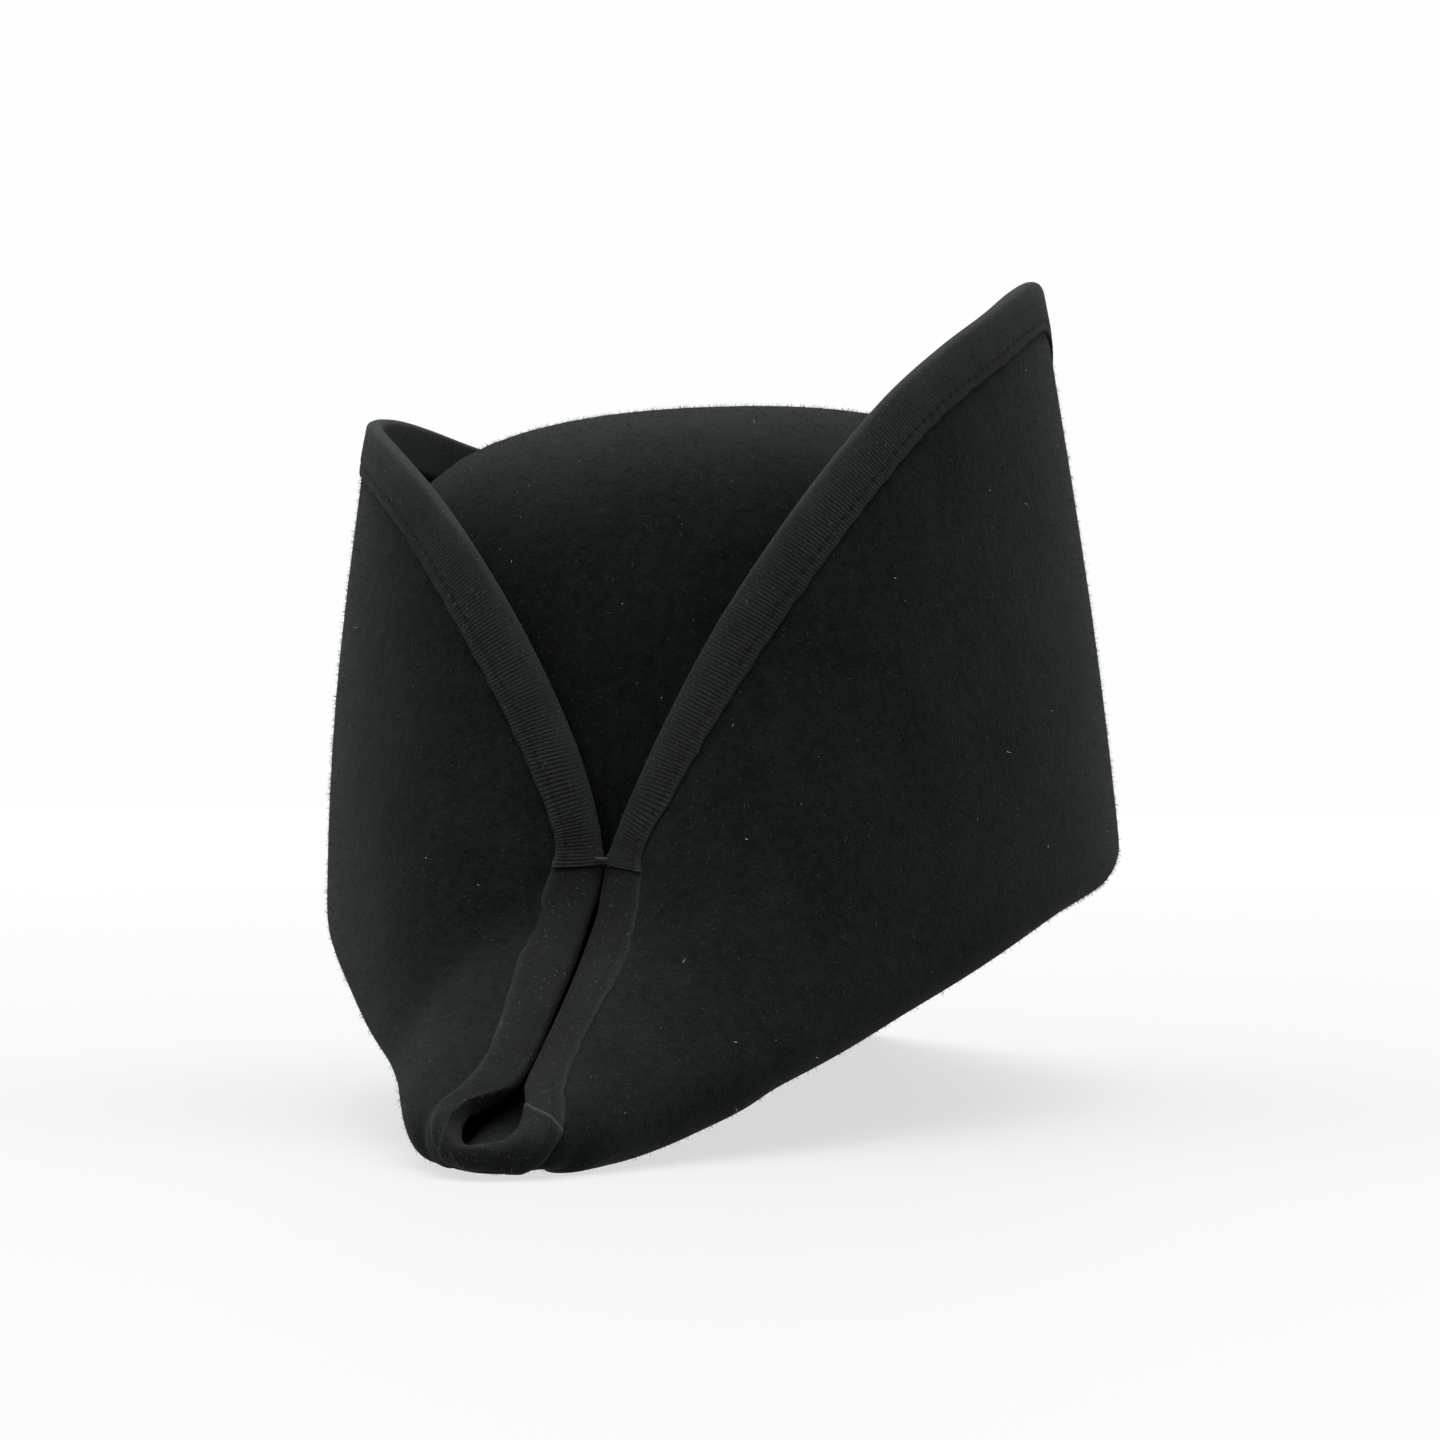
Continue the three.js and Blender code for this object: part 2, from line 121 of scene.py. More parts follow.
class Cloth:
    """A material whose surface is worked out with nodes from the places on it."""

    def __init__(self, name):
        self.material = bpy.data.materials.new(name)
        self.material.use_nodes = True
        self.tree = self.material.node_tree

    def feed(self, sockets, values):
        """Links or sets sockets, each by its name or by its place in the row."""
        for key, value in values.items():
            if isinstance(value, Wire):
                self.tree.links.new(value.socket, sockets[key])
            else:
                sockets[key].default_value = value

    def node(self, kind, settings, values, out=0):
        """A new node of a type, with its settings and the values or links of its sockets."""
        node = self.tree.nodes.new("ShaderNode" + kind)
        for key, value in settings.items():
            setattr(node, key, value)
        self.feed(node.inputs, values)
        return Wire(self, node.outputs[out])

    def place(self):
        return self.node("TexCoord", {}, {}, "Object")

    def noise(self, place, scale, detail, roughness=0.5):
        values = {"Vector": place, "Scale": scale, "Detail": detail, "Roughness": roughness}
        return self.node("TexNoise", {}, values)

    def mix(self, share, first, second):
        """Two colours by their share: a Mix node holds its colours in sockets 6, 7 and 2."""
        return self.node("Mix", {"data_type": "RGBA"}, {0: share, 6: first, 7: second}, 2)

    def fade(self, value, start, end, first, last):
        """Goes from the first to the last number while the value goes from start to end."""
        values = {"Value": value, "From Min": start, "From Max": end, "To Min": first, "To Max": last}
        return self.node("MapRange", {}, values)

    def bump(self, strength, distance, height):
        return self.node("Bump", {}, {"Strength": strength, "Distance": distance, "Height": height})

    def surface(self, **values):
        named = {name.replace("_", " "): value for name, value in values.items()}
        self.feed(self.tree.nodes["Principled BSDF"].inputs, named)
        return self.material


def felt_cloth():
    cloth = Cloth("wool_felt")
    place = cloth.place()
    patches = cloth.noise(place, PATCH_SCALE, 4.0, 0.65)
    felting = cloth.noise(place, FELTING_SCALE, 4.0, 0.65)
    fuzz = cloth.noise(place, FUZZ_SCALE, 2.0, 0.6)
    shade = (patches * 0.3 + felting * 0.4 + fuzz * 0.3 - 0.5) * CONTRAST + 0.5
    colour = cloth.mix(shade, FELT_DARK, FELT_LIGHT)
    specks = cloth.noise(place, FELT_SPECK_SCALE, 1.0).over(SPECK_EDGE) * 0.35
    return cloth.surface(
        Base_Color=cloth.mix(specks, colour, FELT_SPECK),
        Roughness=0.93,
        Specular_IOR_Level=0.04,
        Sheen_Weight=0.03,
        Sheen_Roughness=0.5,
        Sheen_Tint=(0.75, 0.85, 0.85, 1),
        Normal=cloth.bump(0.8, 0.0006, felting * 0.6 + fuzz * 0.4),
    )


def merged(node):
    """The frame node's triangles, joined where they meet."""
    form = bmesh.new()
    form.from_mesh(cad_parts[node].data)
    bmesh.ops.remove_doubles(form, verts=form.verts, dist=JOIN_WITHIN)
    return form


def add_piece(form, name, finish, node):
    """Adds a finished piece that rides with the hat, and takes the node's place if it has one."""
    mesh = bpy.data.meshes.new(name)
    form.to_mesh(mesh)
    form.free()
    mesh.shade_smooth()
    mesh.materials.append(finish)
    piece = bpy.data.objects.new(name, mesh)
    bpy.context.collection.objects.link(piece)
    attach(piece, "root")
    if node:
        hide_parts(node)
    return piece


def smoothed(piece, levels):
    smoothing = piece.modifiers.new("smoothing", "SUBSURF")
    smoothing.levels = smoothing.render_levels = levels
    return piece


class FeltRows:
    """The felt's points in rows round the hat, read from its merged triangles, the rim's row first."""

    def __init__(self, form):
        self.form = form
        middle = self.rim_middle()
        outer, inner = self.rim_corners(middle)
        taken = set(middle) | set(outer) | set(inner)
        self.middle = middle
        self.outer, self.outer_pole = self.rows_from(outer, taken)
        self.inner, self.inner_pole = self.rows_from(inner, taken)

    def across(self, vertex):
        """The two corners that lie half the felt's thickness to each side of a point of the rim."""
        half = FELT_THICK / 2
        near = [
            line.other_vert(vertex) for line in vertex.link_edges
            if abs(line.calc_length() - half) < FIND_WITHIN
        ]
        for first in near:
            for second in near:
                aside = ((first.co + second.co) / 2 - vertex.co).length
                if aside < FIND_WITHIN and first is not second:
                    return first, second
        return None

    def rim_middle(self):
        members = {vertex for vertex in self.form.verts if self.across(vertex)}
        line = [max(members, key=lambda vertex: vertex.co.x)]
        while True:
            onward = [
                link.other_vert(line[-1]) for link in line[-1].link_edges
                if link.other_vert(line[-1]) in members and link.other_vert(line[-1]) not in line
            ]
            if not onward:
                return line
            line.append(min(onward, key=lambda vertex: vertex.co.y))

    def rim_corners(self, middle):
        outer, inner = [], []
        guide = Vector((1, 0, 0))
        for vertex in middle:
            first, second = self.across(vertex)
            if (first.co - second.co).dot(guide) < 0:
                first, second = second, first
            guide = first.co - second.co
            outer.append(first)
            inner.append(second)
        return outer, inner

    def rows_from(self, rim, taken):
        rows = [rim]
        while True:
            reached = [
                {link.other_vert(vertex) for link in vertex.link_edges} - taken for vertex in rows[-1]
            ]
            if len(set.union(*reached)) == 1:
                return rows, reached[0].pop()
            rows.append(self.next_row(reached))
            taken |= set(rows[-1])

    def next_row(self, reached):
        """Sorts the next row's points: each point reaches one to three of them, its own in the middle."""
        count = len(reached)
        for before in (0, 1):
            befores = [before]
            for points in reached:
                befores.append(befores[-1] + 2 - len(points))
            if befores[-1] == befores[0] and set(befores) <= {0, 1}:
                break
        row = [None] * count
        for index in range(count):
            after = (index + 1) % count
            shared = (reached[index] & reached[after]).pop()
            row[after if befores[index + 1] == 0 else index] = shared
        for index in range(count):
            if row[index] is None:
                row[index] = (reached[index] - {row[index - 1], row[(index + 1) % count]}).pop()
        return row

    def make_squares(self):
        """Puts whole squares in the place of the triangles."""
        bmesh.ops.delete(self.form, geom=self.form.faces[:], context="FACES_ONLY")
        shells = [self.outer[::-1] + [self.middle], self.inner[::-1] + [self.middle]]
        for shell, pole in zip(shells, (self.outer_pole, self.inner_pole)):
            for upper, lower in zip(shell, shell[1:]):
                for index in range(len(upper)):
                    on = (index + 1) % len(upper)
                    self.form.faces.new((upper[index], lower[index], lower[on], upper[on]))
            for index, vertex in enumerate(shell[0]):
                self.form.faces.new((pole, vertex, shell[0][(index + 1) % len(shell[0])]))
        bmesh.ops.recalc_face_normals(self.form, faces=self.form.faces)
        loose = [line for line in self.form.edges if not line.link_faces]
        bmesh.ops.delete(self.form, geom=loose, context="EDGES")


felt_form = merged("felt_body")
felt_rows = FeltRows(felt_form)
felt_rows.make_squares()
rim_middle = np.array([vertex.co[:] for vertex in felt_rows.middle])
outer_band = np.array([[vertex.co[:] for vertex in row] for row in felt_rows.outer[:BAND_ROWS]])
inner_band = np.array([[vertex.co[:] for vertex in row] for row in felt_rows.inner[:BAND_ROWS]])
felt = smoothed(add_piece(felt_form, "felt_hat", felt_cloth(), "felt_body"), FELT_LEVELS)

# Smoothing draws the felt in a little. So each of its points is moved out by as much as it was drawn
# in, up to a limit that keeps the folds round.
MOVE_LIMIT = 0.0007
MOVE_ROUNDS = 2
made_points = np.array([vertex.co[:] for vertex in felt.data.vertices])
moves = np.zeros_like(made_points)
for _ in range(MOVE_ROUNDS):
    bpy.context.view_layer.update()
    drawn_in = felt.evaluated_get(bpy.context.evaluated_depsgraph_get()).to_mesh()
    drawn_points = np.array([vertex.co[:] for vertex in drawn_in.vertices[:len(made_points)]])
    felt.to_mesh_clear()
    moves += made_points - drawn_points
    moves *= np.minimum(1, MOVE_LIMIT / np.maximum(np.linalg.norm(moves, axis=1), 1e-9))[:, None]
    felt.data.vertices.foreach_set("co", (made_points + moves).ravel())
    felt.data.update()

# The crown's top is pressed smooth over the block. The fan of faces round its middle is evened out for
# that, less and less towards the crown's edge.
CROWN_TOP_UP = 0.152
CROWN_TOP_REACH = 0.05
EVENING_ROUNDS = 14
crown_top = felt.vertex_groups.new(name="crown_top")
for vertex in felt.data.vertices:
    reach = math.hypot(vertex.co.x - CROWN_AXIS_X, vertex.co.y)
    if vertex.co.z > CROWN_TOP_UP and reach < CROWN_TOP_REACH:
        crown_top.add([vertex.index], 1 - (reach / CROWN_TOP_REACH) ** 2, "REPLACE")
evening = felt.modifiers.new("evening", "SMOOTH")
evening.factor = 0.5
evening.iterations = EVENING_ROUNDS
evening.vertex_group = "crown_top"

# The ribbon: black grosgrain, 25 mm wide, ribbed across, folded over the felt's edge. On the flaps it
# is sewn through near its lower border. Each length starts as a flat strip that is laid on the felt.
RIBBON_LEG = 0.011
RIBBON_THICK = 0.0004
RIB_PITCH = 0.0009
RIB_ROWS = 3
RIB_DEPTH = 0.00013
RIM_RIBS = 0.3
INNER_RIBS = 0.35
SEAM_IN = 0.0024
SEAM_WIDE = 0.0006
SEAM_PITCH = 0.0031
SEAM_DEPTH = 0.00035
SEAM_BETWEEN = 0.4
SMOOTH_SEAM = 0.5
RIBBON_UP = 0.0007
BORDER_DOWN = 0.0003
TUCKED_BORDER_DOWN = 0.0005
BORDER_SOFT = 0.003
BORDER_WAVE = 0.00008
WAVE_PITCHES = (0.0113, 0.0071)
CREST_UP = 0.0012
CREST_REACH = 0.004
LAP_OVER = 0.0007
LAP_UP = 0.0005
LAP_REACH = 0.004
END_SLANT = 0.0045
SLANT_REACH = 0.007
TIP_NARROWER = 0.5
TIP_SPREAD = 0.015
TIP_LEFT = 0.003
TIP_LAP_FIRST = 0.415
TIP_LAP_LAST = 0.54
TIP_LAP_UP = 0.0009
STEP_DOWN = 0.002
RIM_STEP = 0.0004
OUTER_LINES = 14
TURN_LINES = 7
INNER_LINES = 5
PROBE_LINE = 3


def unit(vectors):
    return vectors / np.linalg.norm(vectors, axis=-1, keepdims=True)


def through(points, steps, along):
    """Values at lengths along a closed line of points, on a smooth curve through them."""
    count = len(points)
    reach = np.concatenate([[0.0], np.cumsum(steps)])
    along = np.mod(along, reach[-1])
    here = np.clip(np.searchsorted(reach, along, "right") - 1, 0, count - 1)
    share = ((along - reach[here]) / steps[here])[:, None]
    pick = [points[np.mod(here + step, count)] for step in (-1, 0, 1, 2)]
    gaps = [steps[np.mod(here + step, count)][:, None] for step in (-1, 0, 1)]
    lead = gaps[1] * (pick[2] - pick[0]) / (gaps[0] + gaps[1])
    trail = gaps[1] * (pick[3] - pick[1]) / (gaps[1] + gaps[2])
    return (
        pick[1] * (1 + 2 * share) * (1 - share) ** 2 + lead * share * (1 - share) ** 2
        + pick[2] * share**2 * (3 - 2 * share) + trail * share**2 * (share - 1)
    )


rim_steps = np.linalg.norm(np.roll(rim_middle, -1, 0) - rim_middle, axis=1)
rim_reach = np.concatenate([[0.0], np.cumsum(rim_steps)])


def along_rim(points, along):
    return through(points, rim_steps, along)


def down_band(band, along, depth):
    """Points on one face of the felt, so far along the rim and so far below it, on a cubic curve that
    is fitted to the face's rows."""
    rows = np.array([along_rim(row, along) for row in band])
    powers = np.vander(np.linspace(0.0, RIBBON_LEG, BAND_ROWS), 4)
    fit = np.linalg.lstsq(powers, rows.reshape(BAND_ROWS, -1), rcond=None)[0].reshape(4, -1, 3)
    share = np.broadcast_to(depth, len(along))[:, None]
    return ((fit[0] * share + fit[1]) * share + fit[2]) * share + fit[3]


def rim_length_beside(node, aside):
    """The length along the rim that is nearest to a point beside the middle of a node."""
    low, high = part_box(node)
    goal = (np.array(low) + np.array(high)) / 2 + np.array((aside, 0, 0))
    fine = np.arange(0.0, rim_reach[-1], RIM_STEP)
    return fine[np.linalg.norm(along_rim(rim_middle, fine) - goal, axis=1).argmin()]


TACK_ASIDE = 0.003
whole_rim = rim_reach[-1]
right_front = rim_length_beside("front_tack", TACK_ASIDE)
left_front = rim_length_beside("front_tack", -TACK_ASIDE)
left_rear = rim_length_beside("rear_tack", -TACK_ASIDE)
right_rear = rim_length_beside("rear_tack", TACK_ASIDE)

# Across the ribbon: how far below the rim, on which side of the felt, and the turn over its edge
outer_leg = [(depth, 1, 0.0) for depth in np.linspace(RIBBON_LEG, 0.0, OUTER_LINES + 1)[:-1]]
over_edge = [(0.0, 0, turn) for turn in np.linspace(0.0, math.pi, TURN_LINES)]
inner_leg = [(depth, -1, 0.0) for depth in np.linspace(0.0, RIBBON_LEG, INNER_LINES + 1)[1:]]
ribbon_lines = outer_leg + over_edge + inner_leg
tucked_lines = outer_leg + over_edge + inner_leg[:1]


def laid_ribbon(name, node, finish, first, last, tucked=False, ribbed=True, lap=0.0, over_own=0.0,
                tip=0.0):
    """Ribbon laid over the rim between two lengths along it. Its ends reach over by the lap, and a
    tucked one stops just inside the rim. One that lies over its own start sinks back beside it."""
    lines_across = tucked_lines if tucked else ribbon_lines
    rows = int(round((last - first + 2 * lap) / RIB_PITCH)) * RIB_ROWS
    share = np.linspace(-1.0, 1.0, rows + 1)
    raised = over_own * np.linspace(0.5, -1.0, rows + 1)[:, None]
    plain_along = (first + last) / 2 + share * ((last - first) / 2 + lap)
    past_ends = np.exp((plain_along - last) / SLANT_REACH)
    past_ends = past_ends - np.exp((first - plain_along) / SLANT_REACH)
    from_end = np.minimum(plain_along - first, last - plain_along)
    over = np.clip(1 - from_end / LAP_REACH, 0, 1)[:, None] * (LAP_UP if lap else 0)
    lift = RIBBON_UP + over + raised
    sunk = TUCKED_BORDER_DOWN if tucked else BORDER_DOWN
    lines = []
    for depth, side, turn in lines_across:
        slant = END_SLANT * depth / RIBBON_LEG if side > 0 and lap else 0.0
        along = plain_along + slant * past_ends
        outer_rim, inner_rim = along_rim(outer_band[0], along), along_rim(inner_band[0], along)
        outward = unit(outer_rim - inner_rim)
        down = unit(down_band(outer_band, along, STEP_DOWN) - down_band(outer_band, along, 0.0))
        reach = depth
        if side > 0:
            waves = sum(np.sin(2 * math.pi * along / pitch) for pitch in WAVE_PITCHES)
            reach = depth - BORDER_WAVE * (1 + waves) * (depth / RIBBON_LEG) ** 2
        if tucked and side > 0:
            reach = reach * (1 - TIP_NARROWER * np.exp(-(((along - tip) / TIP_SPREAD) ** 2)))
        if side:
            band, other = (outer_band, inner_band) if side > 0 else (inner_band, outer_band)
            face = down_band(band, along, reach)
            flat = min(1.0, (RIBBON_LEG - depth) / BORDER_SOFT) if side > 0 else 1.0
            out = unit(face - down_band(other, along, reach))
            lines.append(face + out * (lift - sunk * (1 - flat)))
        else:
            lines.append(
                along_rim(rim_middle, along) + outward * math.cos(turn) * (FELT_THICK / 2 + lift)
                - down * math.sin(turn) * (CREST_UP + over + raised)
            )
    lines = np.array(lines)
    lines[:, :, 2] = np.maximum(lines[:, :, 2], 0.0)
    facing = unit(np.cross(np.gradient(lines, axis=0), np.gradient(lines, axis=1)))
    facing *= np.sign(np.sum(facing[PROBE_LINE] * outward))

    inset = np.array([
        RIBBON_LEG - depth if side > 0 else math.inf for depth, side, _ in lines_across
    ])
    crest = np.array([
        min(1.0, depth / CREST_REACH) if side > 0 else INNER_RIBS for depth, side, _ in lines_across
    ])
    rib = np.where(np.arange(rows + 1) % RIB_ROWS == 0, 1.0, 0.0) * ribbed
    seam = np.exp(-(((inset - SEAM_IN) / SEAM_WIDE) ** 2))
    stitch = np.maximum(0, np.cos(2 * math.pi * plain_along / SEAM_PITCH)) ** 3
    pull = SEAM_BETWEEN + (1 - SEAM_BETWEEN) * stitch
    sink = RIB_DEPTH * (RIM_RIBS + (1 - RIM_RIBS) * crest)[:, None] * rib
    sink = sink + SEAM_DEPTH * (1.0 if ribbed else SMOOTH_SEAM) * seam[:, None] * pull
    lines = lines - facing * sink[:, :, None]
    lines[:, :, 2] = np.maximum(lines[:, :, 2], 0.0)

    form = bmesh.new()
    bmesh.ops.create_grid(form, x_segments=rows, y_segments=len(lines) - 1, size=0.5)
    wide = np.linalg.norm(np.diff(lines[:, rows // 2], axis=0), axis=1)
    wide = np.concatenate([[0.0], np.cumsum(wide)])
    placed = form.loops.layers.uv.new("ribbon")
    for vertex in form.verts:
        row = round((vertex.co.x + 0.5) * rows)
        line = round((vertex.co.y + 0.5) * (len(lines) - 1))
        for corner in vertex.link_loops:
            corner[placed].uv = (plain_along[row] - first + lap, wide[line])
        vertex.co = lines[line, row]
    form.normal_update()
    form.faces.ensure_lookup_table()
    probe = form.faces[rows * PROBE_LINE + rows // 2]
    if probe.normal.dot(Vector(facing[PROBE_LINE, rows // 2])) < 0:
        bmesh.ops.reverse_faces(form, faces=form.faces)
    ribbon = add_piece(form, name, finish, node)
    thickness = ribbon.modifiers.new("thickness", "SOLIDIFY")
    thickness.thickness = RIBBON_THICK
    thickness.offset = -1.0
    return ribbon


GREEN_SHARE = 1.16
BLUE_SHARE = 1.13
RIBBED_SHADES = (0.005, 0.022)
SMOOTH_SHADES = (0.002, 0.0079)
# Painted shade in the grooves between the ribs
GROOVE_PAINTED_SHADE = (0.0012, 0.0014, 0.0014, 1)
# Painted highlight along the ribbon's fold over the felt's edge
CREST_PAINTED_HIGHLIGHT = (0.014, 0.016, 0.0156, 1)
# Painted shade in the stitch line's dimples
SEAM_PAINTED_SHADE = (0.002, 0.0023, 0.0023, 1)
BORDER_LIGHT = (0.015, 0.0172, 0.0168, 1)
END_LIGHT = (0.03, 0.034, 0.033, 1)
RIBBON_SPECK = (0.05, 0.055, 0.053, 1)
WEAVE_SCALE = 1700.0
WORN_SCALE = 55.0
RIBBON_SPECK_SCALE = 1300.0

# How each mark fades on the ribbon: from and to which distance, and its strength at both
GROOVE_SHADE_FADE = (0.0065, 0.011, 0.95, 0.15)
CREST_HIGHLIGHT_FADE = (0.0085, 0.0125, 0.0, 0.35)
SEAM_SHADE_FADE = (0.0001, 0.0006, 0.8, 0.0)
BORDER_FADE = (0.0003, 0.0012, 0.45, 0.0)
END_FADE = (0.0003, 0.0013, 0.7, 0.0)


def ribbon_cloth(name, ribbed):
    """Ribbon's material: its UV map holds how far along and how far in from the border a point is."""
    cloth = Cloth(name)
    place = cloth.place()
    flat = cloth.node("UVMap", {"uv_map": "ribbon"}, {})
    along = cloth.node("SeparateXYZ", {}, {"Vector": flat}, "X")
    across = cloth.node("SeparateXYZ", {}, {"Vector": flat}, "Y")
    weave = cloth.noise(place, WEAVE_SCALE, 2.0, 0.6)
    worn = cloth.noise(place, WORN_SCALE, 3.0, 0.6)
    specks = cloth.noise(place, RIBBON_SPECK_SCALE, 1.0).over(SPECK_EDGE)
    shade = (worn * 0.5 + weave * 0.5 - 0.5) * CONTRAST + 0.5
    dark, light = (
        (red, red * GREEN_SHARE, red * BLUE_SHARE, 1)
        for red in (RIBBED_SHADES if ribbed else SMOOTH_SHADES)
    )
    colour = cloth.mix(shade, dark, light)
    if ribbed:
        # Painted shade: the grooves between the ribs are darkened, most on the ribbon's lower part
        wave = (along * (2 * math.pi / RIB_PITCH)).maths("COSINE") * 0.5 + 0.5
        colour = cloth.mix(wave**1.5 * cloth.fade(across, *GROOVE_SHADE_FADE), colour, GROOVE_PAINTED_SHADE)
        # Painted highlight: lighter over the top of the outer face, the fold and the inner face
        colour = cloth.mix(cloth.fade(across, *CREST_HIGHLIGHT_FADE), colour, CREST_PAINTED_HIGHLIGHT)
    # Painted shade in the stitch line's dimples, deepest at each stitch and varied at random
    from_seam = (across - SEAM_IN).maths("ABSOLUTE")
    stitch = ((along * (2 * math.pi / SEAM_PITCH)).maths("COSINE") * 0.4 + 0.6) * worn * 1.6
    colour = cloth.mix(cloth.fade(from_seam, *SEAM_SHADE_FADE) * stitch, colour, SEAM_PAINTED_SHADE)
    colour = cloth.mix(cloth.fade(across, *BORDER_FADE), colour, BORDER_LIGHT)
    if not ribbed:
        colour = cloth.mix(cloth.fade(along, *END_FADE), colour, END_LIGHT)
    return cloth.surface(
        Base_Color=cloth.mix(specks * (0.3 if ribbed else 0.45), colour, RIBBON_SPECK),
        Roughness=0.8,
        Specular_IOR_Level=0.05,
        Sheen_Weight=0.02,
        Sheen_Roughness=0.4,
        Sheen_Tint=(0.8, 0.86, 0.9, 1),
        Normal=cloth.bump(0.5, 0.0002, weave),
    )


flap_ribbon = ribbon_cloth("ribbed_ribbon", True)
horn_ribbon = ribbon_cloth("smooth_ribbon", False)
ribbons = [
    laid_ribbon(
        "right_flap_ribbon", "right_flap_binding", flap_ribbon, right_rear - whole_rim, right_front,
        lap=LAP_OVER,
    ),
    laid_ribbon(
        "left_flap_ribbon", "left_flap_binding", flap_ribbon, left_front, left_rear, lap=LAP_OVER
    ),
]

# Round each horn runs a plainer ribbon of the same width, tucked in just over the edge. Its two ends
# overlap below the right side of the slit's hole.
for end, first, last in (("front", right_front, left_front), ("rear", left_rear, right_rear)):
    tip = (first + last) / 2 + TIP_LEFT
    ribbons.append(laid_ribbon(
        end + "_horn_ribbon", end + "_horn_binding", horn_ribbon, first, last, tucked=True,
        ribbed=False, tip=tip,
    ))
    ribbons.append(laid_ribbon(
        end + "_horn_lap", None, horn_ribbon, first + (last - first) * TIP_LAP_FIRST,
        first + (last - first) * TIP_LAP_LAST, tucked=True, ribbed=False, over_own=TIP_LAP_UP,
        tip=tip,
    ))

# The tacks: a few turns of black thread, sewn through both flaps where their ribbons meet. They hold
# the flaps together in front and behind.
THREAD_LEVELS = 1
THREAD_BLACK = (0.014, 0.015, 0.015, 1)
thread = Cloth("black_thread").surface(
    Base_Color=THREAD_BLACK, Roughness=0.7, Specular_IOR_Level=0.2
)
for node in ("front_tack", "rear_tack"):
    smoothed(add_piece(merged(node), node + "_thread", thread, node), THREAD_LEVELS)

# The nap: short wool fibres that felting leaves standing off the felt, with some longer hairs, grey
# fibres and specks of lint. The ribbons carry a thin pale fluff.
FIBRE_ROOT = 0.0001
FLOOR_ROOM = 0.0003
NAP_BLACK = (0.0084, 0.0107, 0.0098, 1)
FIBRE_GREY = (0.09, 0.09, 0.085, 1)
LINT_PALE = (0.5, 0.5, 0.48, 1)
FLUFF_PALE = (0.12, 0.125, 0.12, 1)


def skin_of(pieces):
    """The pieces' faces as triangles, with their normals and areas."""
    bpy.context.view_layer.update()
    faces = []
    for piece in pieces:
        made = piece.evaluated_get(bpy.context.evaluated_depsgraph_get())
        mesh = made.to_mesh()
        mesh.calc_loop_triangles()
        corners = np.empty(len(mesh.loop_triangles) * 3, int)
        mesh.loop_triangles.foreach_get("vertices", corners)
        spots = np.empty(len(mesh.vertices) * 3)
        mesh.vertices.foreach_get("co", spots)
        faces.append(spots.reshape(-1, 3)[corners.reshape(-1, 3)])
        made.to_mesh_clear()
    faces = np.concatenate(faces)
    normals = np.cross(faces[:, 1] - faces[:, 0], faces[:, 2] - faces[:, 0])
    areas = np.linalg.norm(normals, axis=1)
    return faces, normals / np.maximum(areas, 1e-15)[:, None], areas


def fibres(name, skin, count, seed, lengths, thick, lean, finish):
    """Closed needles of four faces, standing on the cloth and leaning at random."""
    skin_faces, skin_normals, areas = skin
    chance = np.random.default_rng(seed)
    pick = chance.choice(len(skin_faces), count, p=areas / areas.sum())
    first, second = np.sort(chance.random((2, count)), axis=0)
    weights = np.stack([first, second - first, 1 - second], 1)
    foot = np.einsum("nk,nkd->nd", weights, skin_faces[pick])
    way = unit(skin_normals[pick] + unit(chance.normal(size=(count, 3))) * lean)
    length = chance.uniform(*lengths, count)[:, None]
    tip = foot + way * length
    keep = tip[:, 2] > FLOOR_ROOM
    foot, tip, way, count = foot[keep], tip[keep], way[keep], int(keep.sum())
    side = unit(np.cross(way, unit(chance.normal(size=(count, 3)))))
    other = np.cross(way, side)
    ring = [
        foot - way * FIBRE_ROOT + thick * (side * math.cos(turn) + other * math.sin(turn))
        for turn in (0.0, 2 * math.pi / 3, 4 * math.pi / 3)
    ]
    points = np.stack([*ring, tip], 1).reshape(-1, 3)
    faces = np.array([[0, 2, 1], [0, 1, 3], [1, 2, 3], [2, 0, 3]])
    faces = (np.arange(count)[:, None, None] * 4 + faces).reshape(-1, 3)
    mesh = bpy.data.meshes.new(name)
    mesh.from_pydata(points.tolist(), [], faces.tolist())
    mesh.materials.append(finish)
    piece = bpy.data.objects.new(name, mesh)
    bpy.context.collection.objects.link(piece)
    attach(piece, "root")


def fibre(name, colour):
    return Cloth(name).surface(Base_Color=colour, Roughness=0.9, Specular_IOR_Level=0.1)


felt_skin = skin_of([felt])
ribbon_skin = skin_of(ribbons)
nap = fibre("nap", NAP_BLACK)
grey_fibre = fibre("grey_fibre", FIBRE_GREY)
pale_lint = fibre("lint", LINT_PALE)
pale_fluff = fibre("pale_fluff", FLUFF_PALE)

# Each kind: the cloth it stands on, count, seed, shortest and longest, half its thickness, lean, finish
for kind in (
    ("felt_nap", felt_skin, 46000, 11, (0.0005, 0.0015), 0.00006, 0.8, nap),
    ("felt_nap_more", felt_skin, 46000, 12, (0.0004, 0.0012), 0.00006, 0.9, nap),
    ("felt_hairs", felt_skin, 2500, 13, (0.001, 0.0026), 0.00003, 1.1, nap),
    ("grey_fibres", felt_skin, 9000, 14, (0.0003, 0.0014), 0.00004, 2.5, grey_fibre),
    ("lint", felt_skin, 420, 15, (0.0003, 0.0014), 0.00007, 4.0, pale_lint),
    ("ribbon_fluff", ribbon_skin, 7000, 16, (0.0002, 0.0009), 0.00003, 2.5, pale_fluff),
):
    fibres(*kind)

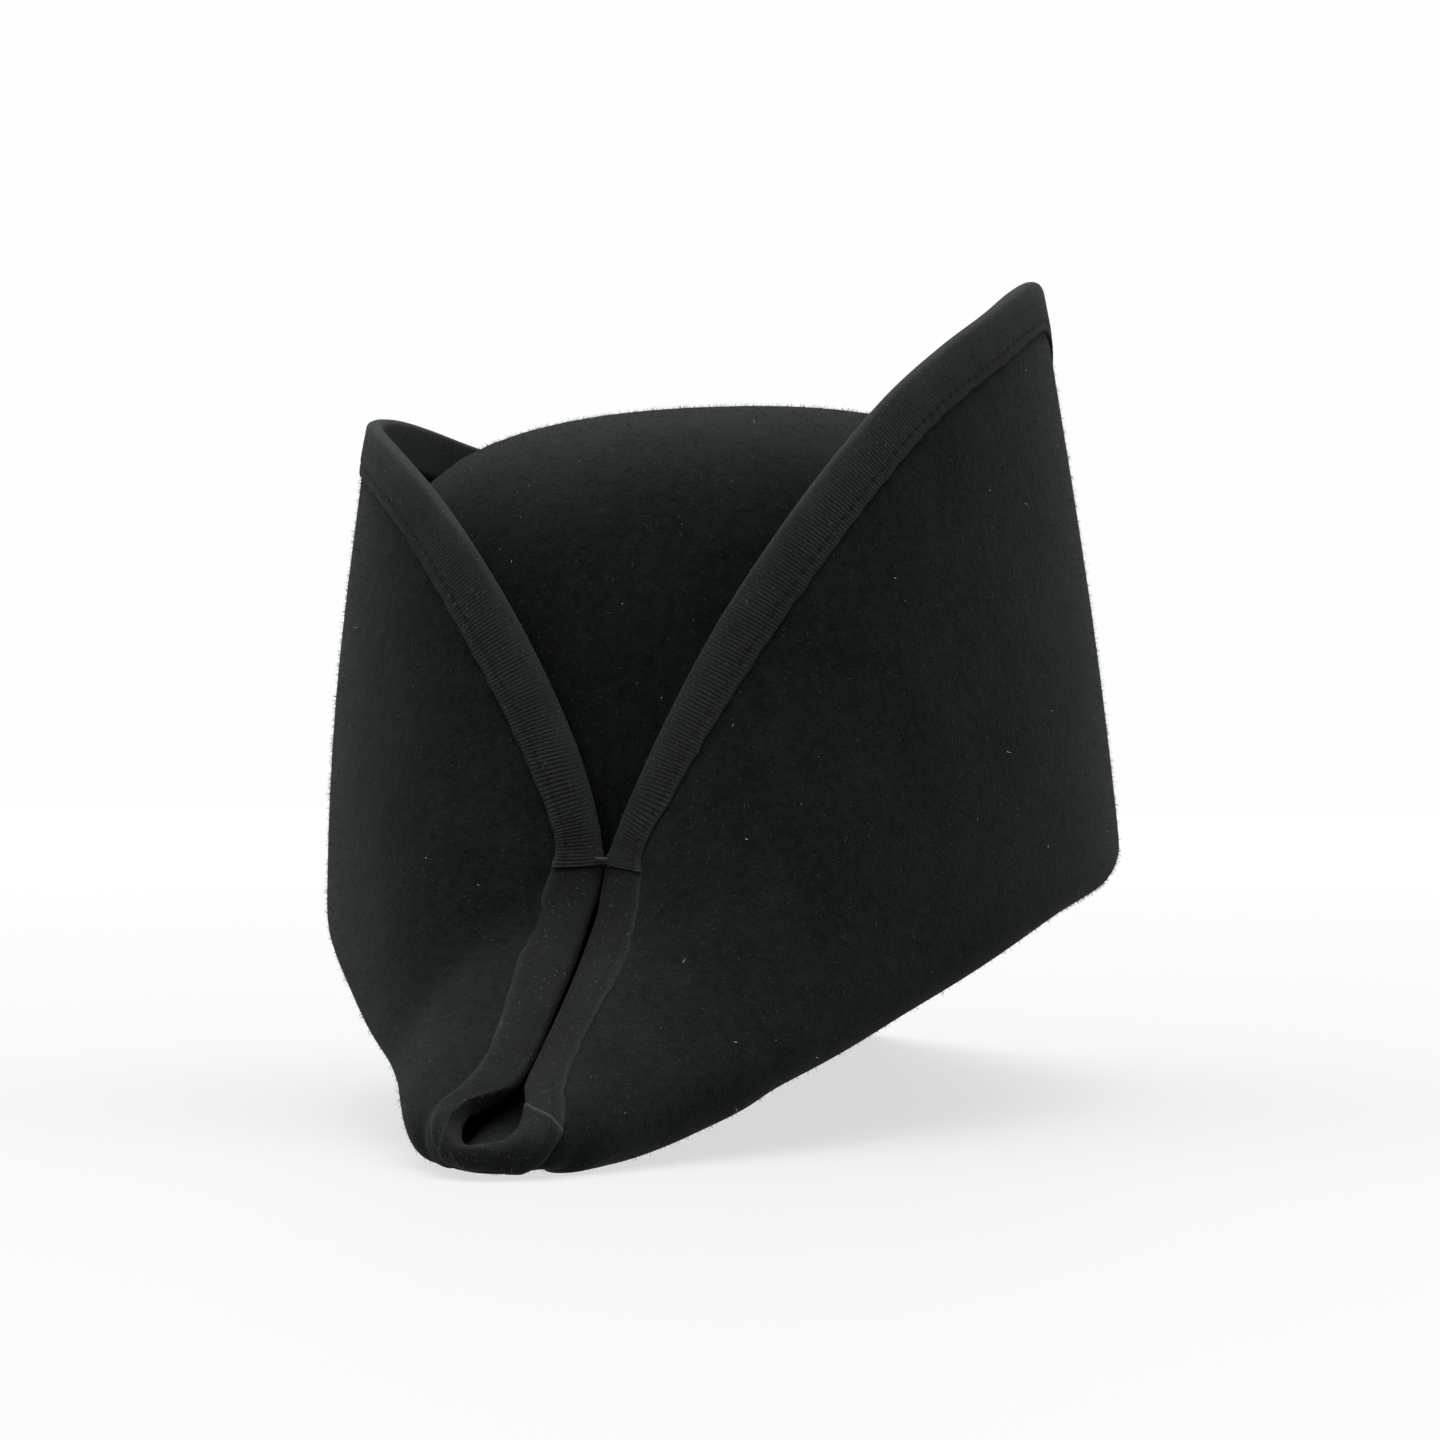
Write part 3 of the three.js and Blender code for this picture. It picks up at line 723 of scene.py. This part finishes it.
# The studio: a pale table in front of a white backdrop. The table's glow is painted light, as the table
# is no
# lamp: it lights the hat softly from below, dimmer near the hat and full far off where it meets the
# backdrop.
# Soft lights hang above, in front and at both sides, and the room behind the camera is dark.
TABLE_HALF = 3.0
TABLE_DOWN = 0.0002
ROOM_BEHIND = 1.7
ROOM_HALF = 2.2
ROOM_UP = 1.4
LIT_SPOT = (0, 0, 0.1)
PAINTED_GLOW_NEAR = (0.75, 0.75, 0.755, 1)
PAINTED_GLOW_FAR = (1, 1, 1, 1)
PAINTED_GLOW_FADE = (0.2, 2.0, 0.0, 1.0)
BACKDROP_STRENGTH = 0.99


# A surface whose emission is painted light: dimmer near the hat and full far from it
def plain_surface(name, shade, painted_glow):
    cloth = Cloth(name)
    away = cloth.node("VectorMath", {"operation": "LENGTH"}, {0: cloth.place()}, "Value")
    return cloth.surface(
        Base_Color=(shade, shade, shade, 1),
        Roughness=0.7,
        Specular_IOR_Level=0.2,
        Emission_Color=cloth.mix(cloth.fade(away, *PAINTED_GLOW_FADE), PAINTED_GLOW_NEAR, PAINTED_GLOW_FAR),
        Emission_Strength=painted_glow,
    )


def flat_square(name, half, finish):
    form = bmesh.new()
    bmesh.ops.create_grid(form, x_segments=1, y_segments=1, size=half)
    mesh = bpy.data.meshes.new(name)
    form.to_mesh(mesh)
    form.free()
    mesh.materials.append(finish)
    square = bpy.data.objects.new(name, mesh)
    bpy.context.collection.objects.link(square)
    return square


def soft_light(name, place, size, power):
    lamp = bpy.data.lights.new(name, "AREA")
    lamp.shape = "RECTANGLE"
    lamp.size, lamp.size_y = size
    lamp.energy = power
    light = bpy.data.objects.new(name, lamp)
    light.location = place
    light.rotation_euler = (Vector(LIT_SPOT) - Vector(place)).to_track_quat("-Z", "Y").to_euler()
    bpy.context.collection.objects.link(light)


table_top = flat_square("table_top", TABLE_HALF, plain_surface("pale_table_painted_glow", 0.08, 0.89))
table_top.location = (0, 0, -TABLE_DOWN)
room = flat_square("dark_room", ROOM_HALF, plain_surface("dark_room", 0.06, 0.0))
room.location = (ROOM_BEHIND * back_x, ROOM_BEHIND * back_y, ROOM_UP)
room.rotation_euler = (math.radians(90), 0, VIEW_TURN)

world = bpy.data.worlds.new("white_room")
world.use_nodes = True
world.node_tree.nodes["Background"].inputs["Color"].default_value = (1, 1, 1, 1)
world.node_tree.nodes["Background"].inputs["Strength"].default_value = BACKDROP_STRENGTH
bpy.context.scene.world = world
bpy.context.scene.view_settings.view_transform = "Standard"

soft_light("above", (0.0, 0.05, 1.25), (1.6, 1.1), 34)
soft_light("left", (-1.3, 0.1, 0.6), (1.0, 1.2), 0.8)
soft_light("right", (1.5, 0.3, 0.5), (1.0, 1.2), 2)
soft_light("front", (-0.05, -1.5, 0.8), (1.2, 1.0), 13)
